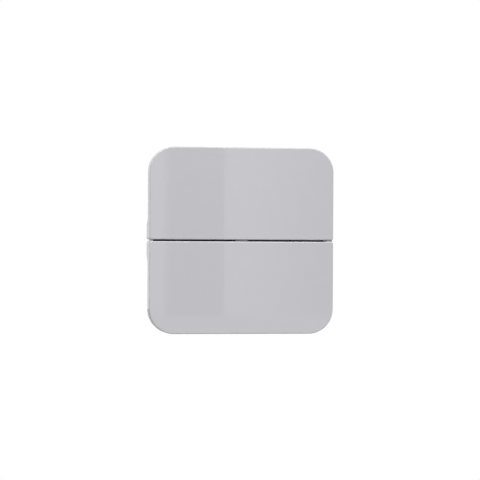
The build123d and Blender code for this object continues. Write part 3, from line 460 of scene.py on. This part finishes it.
def thread_radius(y, angle, start, end):
    """Radius of the screw's skin: a thread of flattened ridges that fades out at both ends."""
    phase = (y - start) / SCREW_PITCH - angle / (2 * math.pi)
    ridge = 1 - abs(2 * (phase % 1) - 1)
    ridge = min(1.0, CREST_FLATNESS * ridge)
    fade = min(1.0, max(0.0, (y - start) / SCREW_PITCH), max(0.0, (end - y) / SCREW_PITCH))
    return SCREW_ROOT + (SCREW_RADIUS - SCREW_ROOT) * ridge * fade


def threaded_screw(name, head_front, head_back, tip):
    """Slotted screw about the Y axis with a real thread, as one closed skin."""
    start = head_back + SCREW_PITCH
    end = tip - SCREW_END_CHAMFER
    rows = [
        (head_front, HEAD_RADIUS - HEAD_CHAMFER),
        (head_front + HEAD_CHAMFER, HEAD_RADIUS),
        (head_back, HEAD_RADIUS),
        (head_back, SCREW_ROOT),
        (start, SCREW_ROOT),
    ]
    count = int((end - start) / SCREW_PITCH * ROWS_A_TURN)
    rows += [(start + (end - start) * (number + 1) / count, None) for number in range(count - 1)]
    rows += [(end, SCREW_ROOT), (tip, SCREW_ROOT - SCREW_END_CHAMFER)]
    bm = bmesh.new()
    rings = []
    for y, radius in rows:
        ring = []
        for number in range(STEPS_ROUND):
            angle = 2 * math.pi * number / STEPS_ROUND
            reach = thread_radius(y, angle, start, end) if radius is None else radius
            ring.append(bm.verts.new((reach * math.cos(angle), y, reach * math.sin(angle))))
        rings.append(ring)
    for first, second in zip(rings, rings[1:]):
        for number in range(STEPS_ROUND):
            after = (number + 1) % STEPS_ROUND
            face = bm.faces.new((first[number], first[after], second[after], second[number]))
            face.smooth = first[0].co.y >= head_back
    bm.faces.new(rings[0])
    bm.faces.new(rings[-1])
    bmesh.ops.recalc_face_normals(bm, faces=bm.faces)
    screw = new_object(name, bm)
    cut_driver_slot(screw, head_front)
    return screw


def cut_driver_slot(screw, head_front):
    """Cuts the driver slot across the head, and keeps the result as the screw's own mesh."""
    size = Vector((3 * HEAD_RADIUS, 2 * DRIVER_SLOT_DEPTH, DRIVER_SLOT_WIDTH))
    cutter = new_object("slot_cutter", block(size, (0, head_front, 0)))
    cut = screw.modifiers.new("slot", "BOOLEAN")
    cut.operation = "DIFFERENCE"
    cut.solver = "EXACT"
    cut.object = cutter
    bpy.context.view_layer.update()
    graph = bpy.context.evaluated_depsgraph_get()
    mesh = bpy.data.meshes.new_from_object(screw.evaluated_get(graph))
    screw.modifiers.clear()
    screw.data = mesh
    bpy.data.objects.remove(cutter)


def make_claw_screws(finishes):
    """Threaded screws in place of the plain ones of the model."""
    for gang, side in (("upper", 1), ("lower", -1)):
        node = gang + "_claw_screw"
        low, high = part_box(node)
        screw = threaded_screw(node + "_threaded", low.y, low.y + HEAD_HEIGHT, high.y)
        screw.data.transform(Matrix.Translation((0, 0, side * SCREW_Z)))
        screw.data.materials.clear()
        screw.data.materials.append(finishes["screw_steel"])
        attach(screw, node)
        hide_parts(node)


def small_block(name, low, high):
    """A block with its edges broken, between two corners."""
    low, high = Vector(low), Vector(high)
    bm = block(high - low, (high + low) / 2)
    bmesh.ops.bevel(
        bm, geom=bm.edges[:], offset=SMALL_BEVEL, segments=SMALL_BEVEL_STEPS, affect="EDGES"
    )
    return new_object(name, bm)


def make_slot_pieces(finishes):
    """Lips on both keys that close the ends of the slot, and a divider fin at its middle."""
    pivot = Vector((0, KEY_PIVOT_Y, 0))
    turn = Matrix.Rotation(math.radians(KEY_TILT), 4, "Z")
    off = Matrix.Translation(pivot) @ turn @ Matrix.Translation(-pivot)
    seat = KEY_GAP / 2 + 2 * SMALL_BEVEL
    for gang, low, high in (("upper", LIP_CLEARANCE, seat), ("lower", -seat, -LIP_CLEARANCE)):
        for side, (start, end), front in (
            ("left", LEFT_LIP_X, LEFT_LIP_FRONT_Y),
            ("right", RIGHT_LIP_X, RIGHT_LIP_FRONT_Y),
        ):
            name = gang + "_slot_lip_" + side
            lip = small_block(name, (start, front, low), (end, SKIRT_END_Y, high))
            lip.data.transform(off)
            lip.data.materials.append(finishes["key_plastic"])
            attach(lip, gang + "_key")
    fin = small_block(
        "slot_divider",
        (DIVIDER_X[0], DIVIDER_FRONT_Y, -DIVIDER_THICKNESS / 2),
        (DIVIDER_X[1], COVER_FRONT_Y, DIVIDER_THICKNESS / 2),
    )
    fin.data.materials.append(finishes["carrier_plastic"])
    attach(fin, "insert")


def make_world():
    """White surroundings, with dimmer zones in what polished faces mirror of them.

    The gap in front gives the darker zone on the face. The fall to its right and the low zones
    beside and behind set the skirts and rounded edges off from the white ground.
    """
    world = bpy.data.worlds.new("studio")
    bpy.context.scene.world = world
    world.use_nodes = True
    nodes = Nodes(world.node_tree)
    background = world.node_tree.nodes["Background"]
    background.inputs["Color"].default_value = (1, 1, 1, 1)
    parts = nodes.new("ShaderNodeSeparateXYZ")
    nodes.link(nodes.new("ShaderNodeTexCoord").outputs["Generated"], parts.inputs[0])
    upward = parts.outputs["Z"]
    front = nodes.calculate("MULTIPLY", parts.outputs["Y"], -1.0)
    forward = nodes.calculate("MAXIMUM", front, LEAST_FRONT)
    across = nodes.calculate("DIVIDE", parts.outputs["X"], forward)

    near, far = (math.tan(math.radians(angle)) for angle in REFLECTED_GAP)
    soft, crisp = REFLECTED_GAP_EDGES
    gap = nodes.band(across, near - soft, near + soft, far - crisp, far + crisp)
    start, end = (math.tan(math.radians(angle)) for angle in REFLECTED_FALL)
    not_behind = nodes.spread(front, *REFLECTED_FALL_END)
    fall = nodes.multiply(nodes.spread(across, start, end), not_behind)
    low = nodes.spread(upward, *REFLECTED_TOP, 1.0, 0.0)
    beside = nodes.multiply(nodes.band(front, *REFLECTED_SIDE), low)
    behind = nodes.multiply(nodes.band(front, *REFLECTED_BEHIND), low)
    lit = nodes.multiply(
        nodes.dim(gap, REFLECTED_GAP_LIGHT),
        nodes.dim(fall, REFLECTED_FALL_LIGHT),
        nodes.dim(beside, REFLECTED_SIDE_LIGHT),
        nodes.dim(behind, REFLECTED_BEHIND_LIGHT),
    )

    direct, glossy = nodes.rays()
    seen = nodes.calculate("MAXIMUM", direct, nodes.multiply(glossy, lit))
    unseen = nodes.calculate("SUBTRACT", 1.0, nodes.calculate("MAXIMUM", direct, glossy))
    ambient = nodes.spread(upward, -1.0, 1.0, AMBIENT_BELOW, AMBIENT_ABOVE)
    strength = nodes.calculate("ADD", seen, nodes.multiply(unseen, ambient))
    nodes.link(strength, background.inputs["Strength"])


def make_lights():
    """Square lamps that face the object."""
    for name, azimuth, elevation, distance, side, power in LAMPS:
        data = bpy.data.lights.new(name, "AREA")
        data.shape = "SQUARE"
        data.size = side
        data.energy = power
        light = bpy.data.objects.new(name, data)
        bpy.context.scene.collection.objects.link(light)
        direction = toward(azimuth, elevation)
        light.location = distance * direction
        light.rotation_euler = direction.to_track_quat("Z", "Y").to_euler()


def make_floor():
    """Pale floor that keeps the object's shadow and fades to plain white away from it."""
    half = FLOOR_SIZE / 2
    mesh = bpy.data.meshes.new("floor")
    corners = [(-half, -half), (half, -half), (half, half), (-half, half)]
    mesh.from_pydata([(x, y, FLOOR_HEIGHT) for x, y in corners], [], [(0, 1, 2, 3)])
    floor = bpy.data.objects.new("floor", mesh)
    bpy.context.scene.collection.objects.link(floor)
    material = bpy.data.materials.new("floor")
    material.use_nodes = True
    nodes = Nodes(material.node_tree)
    shader = material.node_tree.nodes["Principled BSDF"]
    shader.inputs["Roughness"].default_value = FLOOR_ROUGHNESS
    shader.inputs["Specular IOR Level"].default_value = 0.0
    shader.inputs["Emission Color"].default_value = (1, 1, 1, 1)

    flat = nodes.new("ShaderNodeVectorMath")
    flat.operation = "MULTIPLY"
    flat.inputs[1].default_value = (1, 1, 0)
    nodes.link(nodes.new("ShaderNodeTexCoord").outputs["Object"], flat.inputs[0])
    reach = nodes.new("ShaderNodeVectorMath")
    reach.operation = "LENGTH"
    nodes.link(flat.outputs["Vector"], reach.inputs[0])
    away = nodes.spread(reach.outputs["Value"], *FLOOR_FADE)
    tone = nodes.spread(away, 0.0, 1.0, FLOOR_COLOUR, 0.0)
    nodes.link(tone, shader.inputs["Base Color"])
    glow = nodes.spread(away, 0.0, 1.0, FLOOR_GLOW, 1.0)
    direct, glossy = nodes.rays()
    shown = nodes.calculate(
        "MAXIMUM", nodes.multiply(glow, direct), nodes.multiply(glossy, FLOOR_MIRRORED)
    )
    nodes.link(shown, shader.inputs["Emission Strength"])
    mesh.materials.append(material)


make_camera()
finishes = make_finishes()
dress_nodes(finishes)
make_claw_screws(finishes)
make_slot_pieces(finishes)
make_world()
make_lights()
make_floor()

bpy.context.scene.view_settings.view_transform = "Standard"
